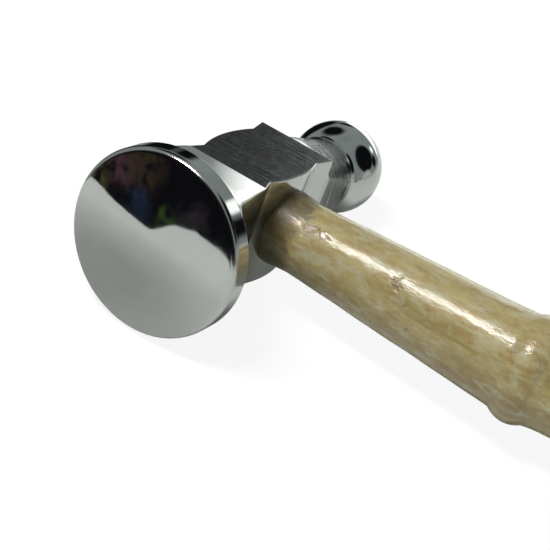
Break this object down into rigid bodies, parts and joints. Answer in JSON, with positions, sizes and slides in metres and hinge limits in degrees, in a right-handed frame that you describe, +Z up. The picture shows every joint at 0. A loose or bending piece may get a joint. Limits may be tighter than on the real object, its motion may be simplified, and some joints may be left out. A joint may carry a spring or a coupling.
{
  "type": "ball peen hammer",
  "caption": "Jeweller's ball peen hammer on its side: polished head with crowned disc, ground cheeks and round ball, wedged to a turned, varnished wooden handle with a swelling grip.",
  "frame": {"origin": "bottom centre of the whole hammer's box, on the surface it lies on", "axes": "+X from the head towards the butt of the handle, -Y the way the striking face looks, +Y the ball, +Z up, out of the upper cheek"},
  "size_m": [0.242, 0.0664, 0.0281],
  "materials": {
    "polished_steel": "mirror polished forged steel, cheeks ground and darker",
    "varnished_wood": "clear glossy varnish over pale brown hardwood",
    "wedge_wood": "plain sawn hardwood",
    "wedge_steel": "plain mild steel, hammered flush"
  },
  "bodies": {
    "root": {"head": "polished_steel", "handle": "varnished_wood", "wood_wedge": "wedge_wood", "steel_wedge": "wedge_steel"}
  },
  "joints": []
}
